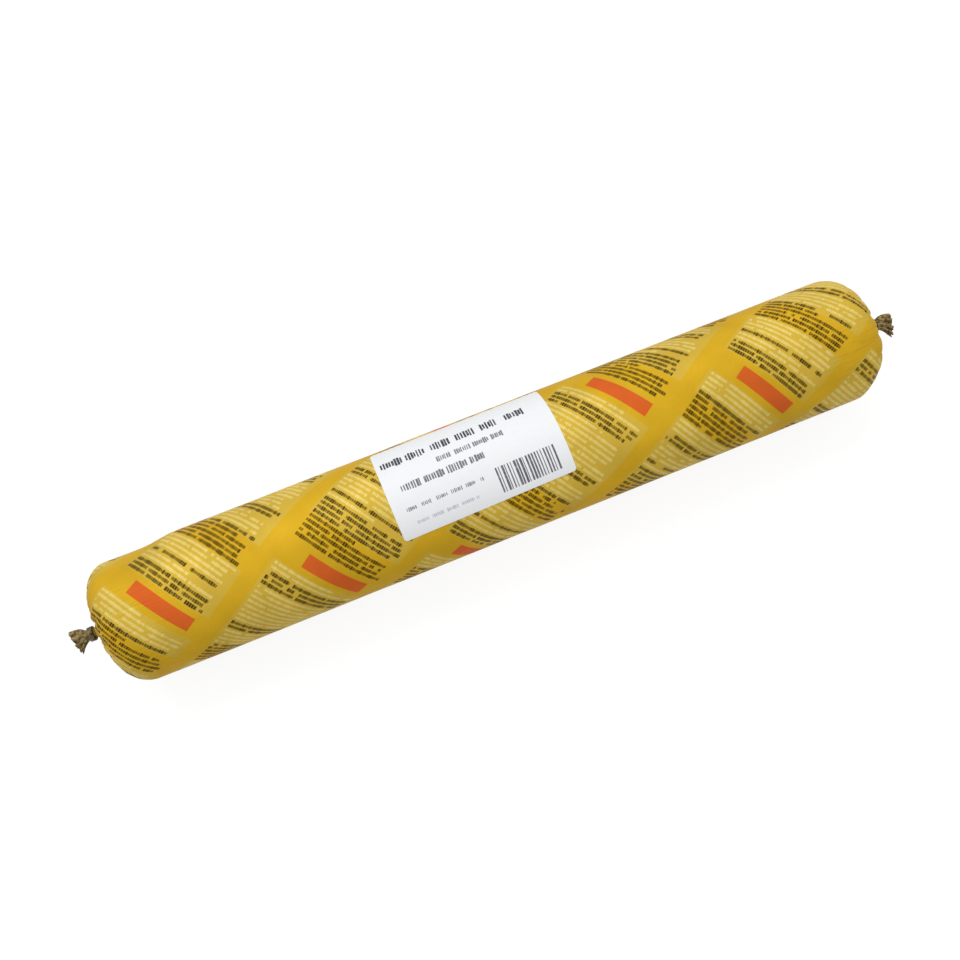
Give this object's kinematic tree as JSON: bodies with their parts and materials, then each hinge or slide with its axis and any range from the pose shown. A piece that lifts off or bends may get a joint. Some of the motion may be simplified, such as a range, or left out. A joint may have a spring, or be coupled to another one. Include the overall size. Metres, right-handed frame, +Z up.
{
  "type": "caulk tube",
  "caption": "Soft foil sausage pack of caulk: a filled printed film barrel with pleated ends closed by crimped metal clips, and a white paper label.",
  "frame": {"origin": "centre of the bounding box at the level that the pack rests on", "axes": "+X along the pack towards the rounder end, +Y towards the back, away from the label's lower edge, +Z up"},
  "size_m": [0.3418, 0.0494, 0.0486],
  "materials": {
    "film": "printed film laminate, satin to semi-gloss, golden yellow",
    "clip_metal": "dull drawn aluminium",
    "paper": "white coated label paper"
  },
  "bodies": {
    "root": {"film_pack": "film", "left_clip": "clip_metal", "right_clip": "clip_metal", "label": "paper"}
  },
  "joints": []
}
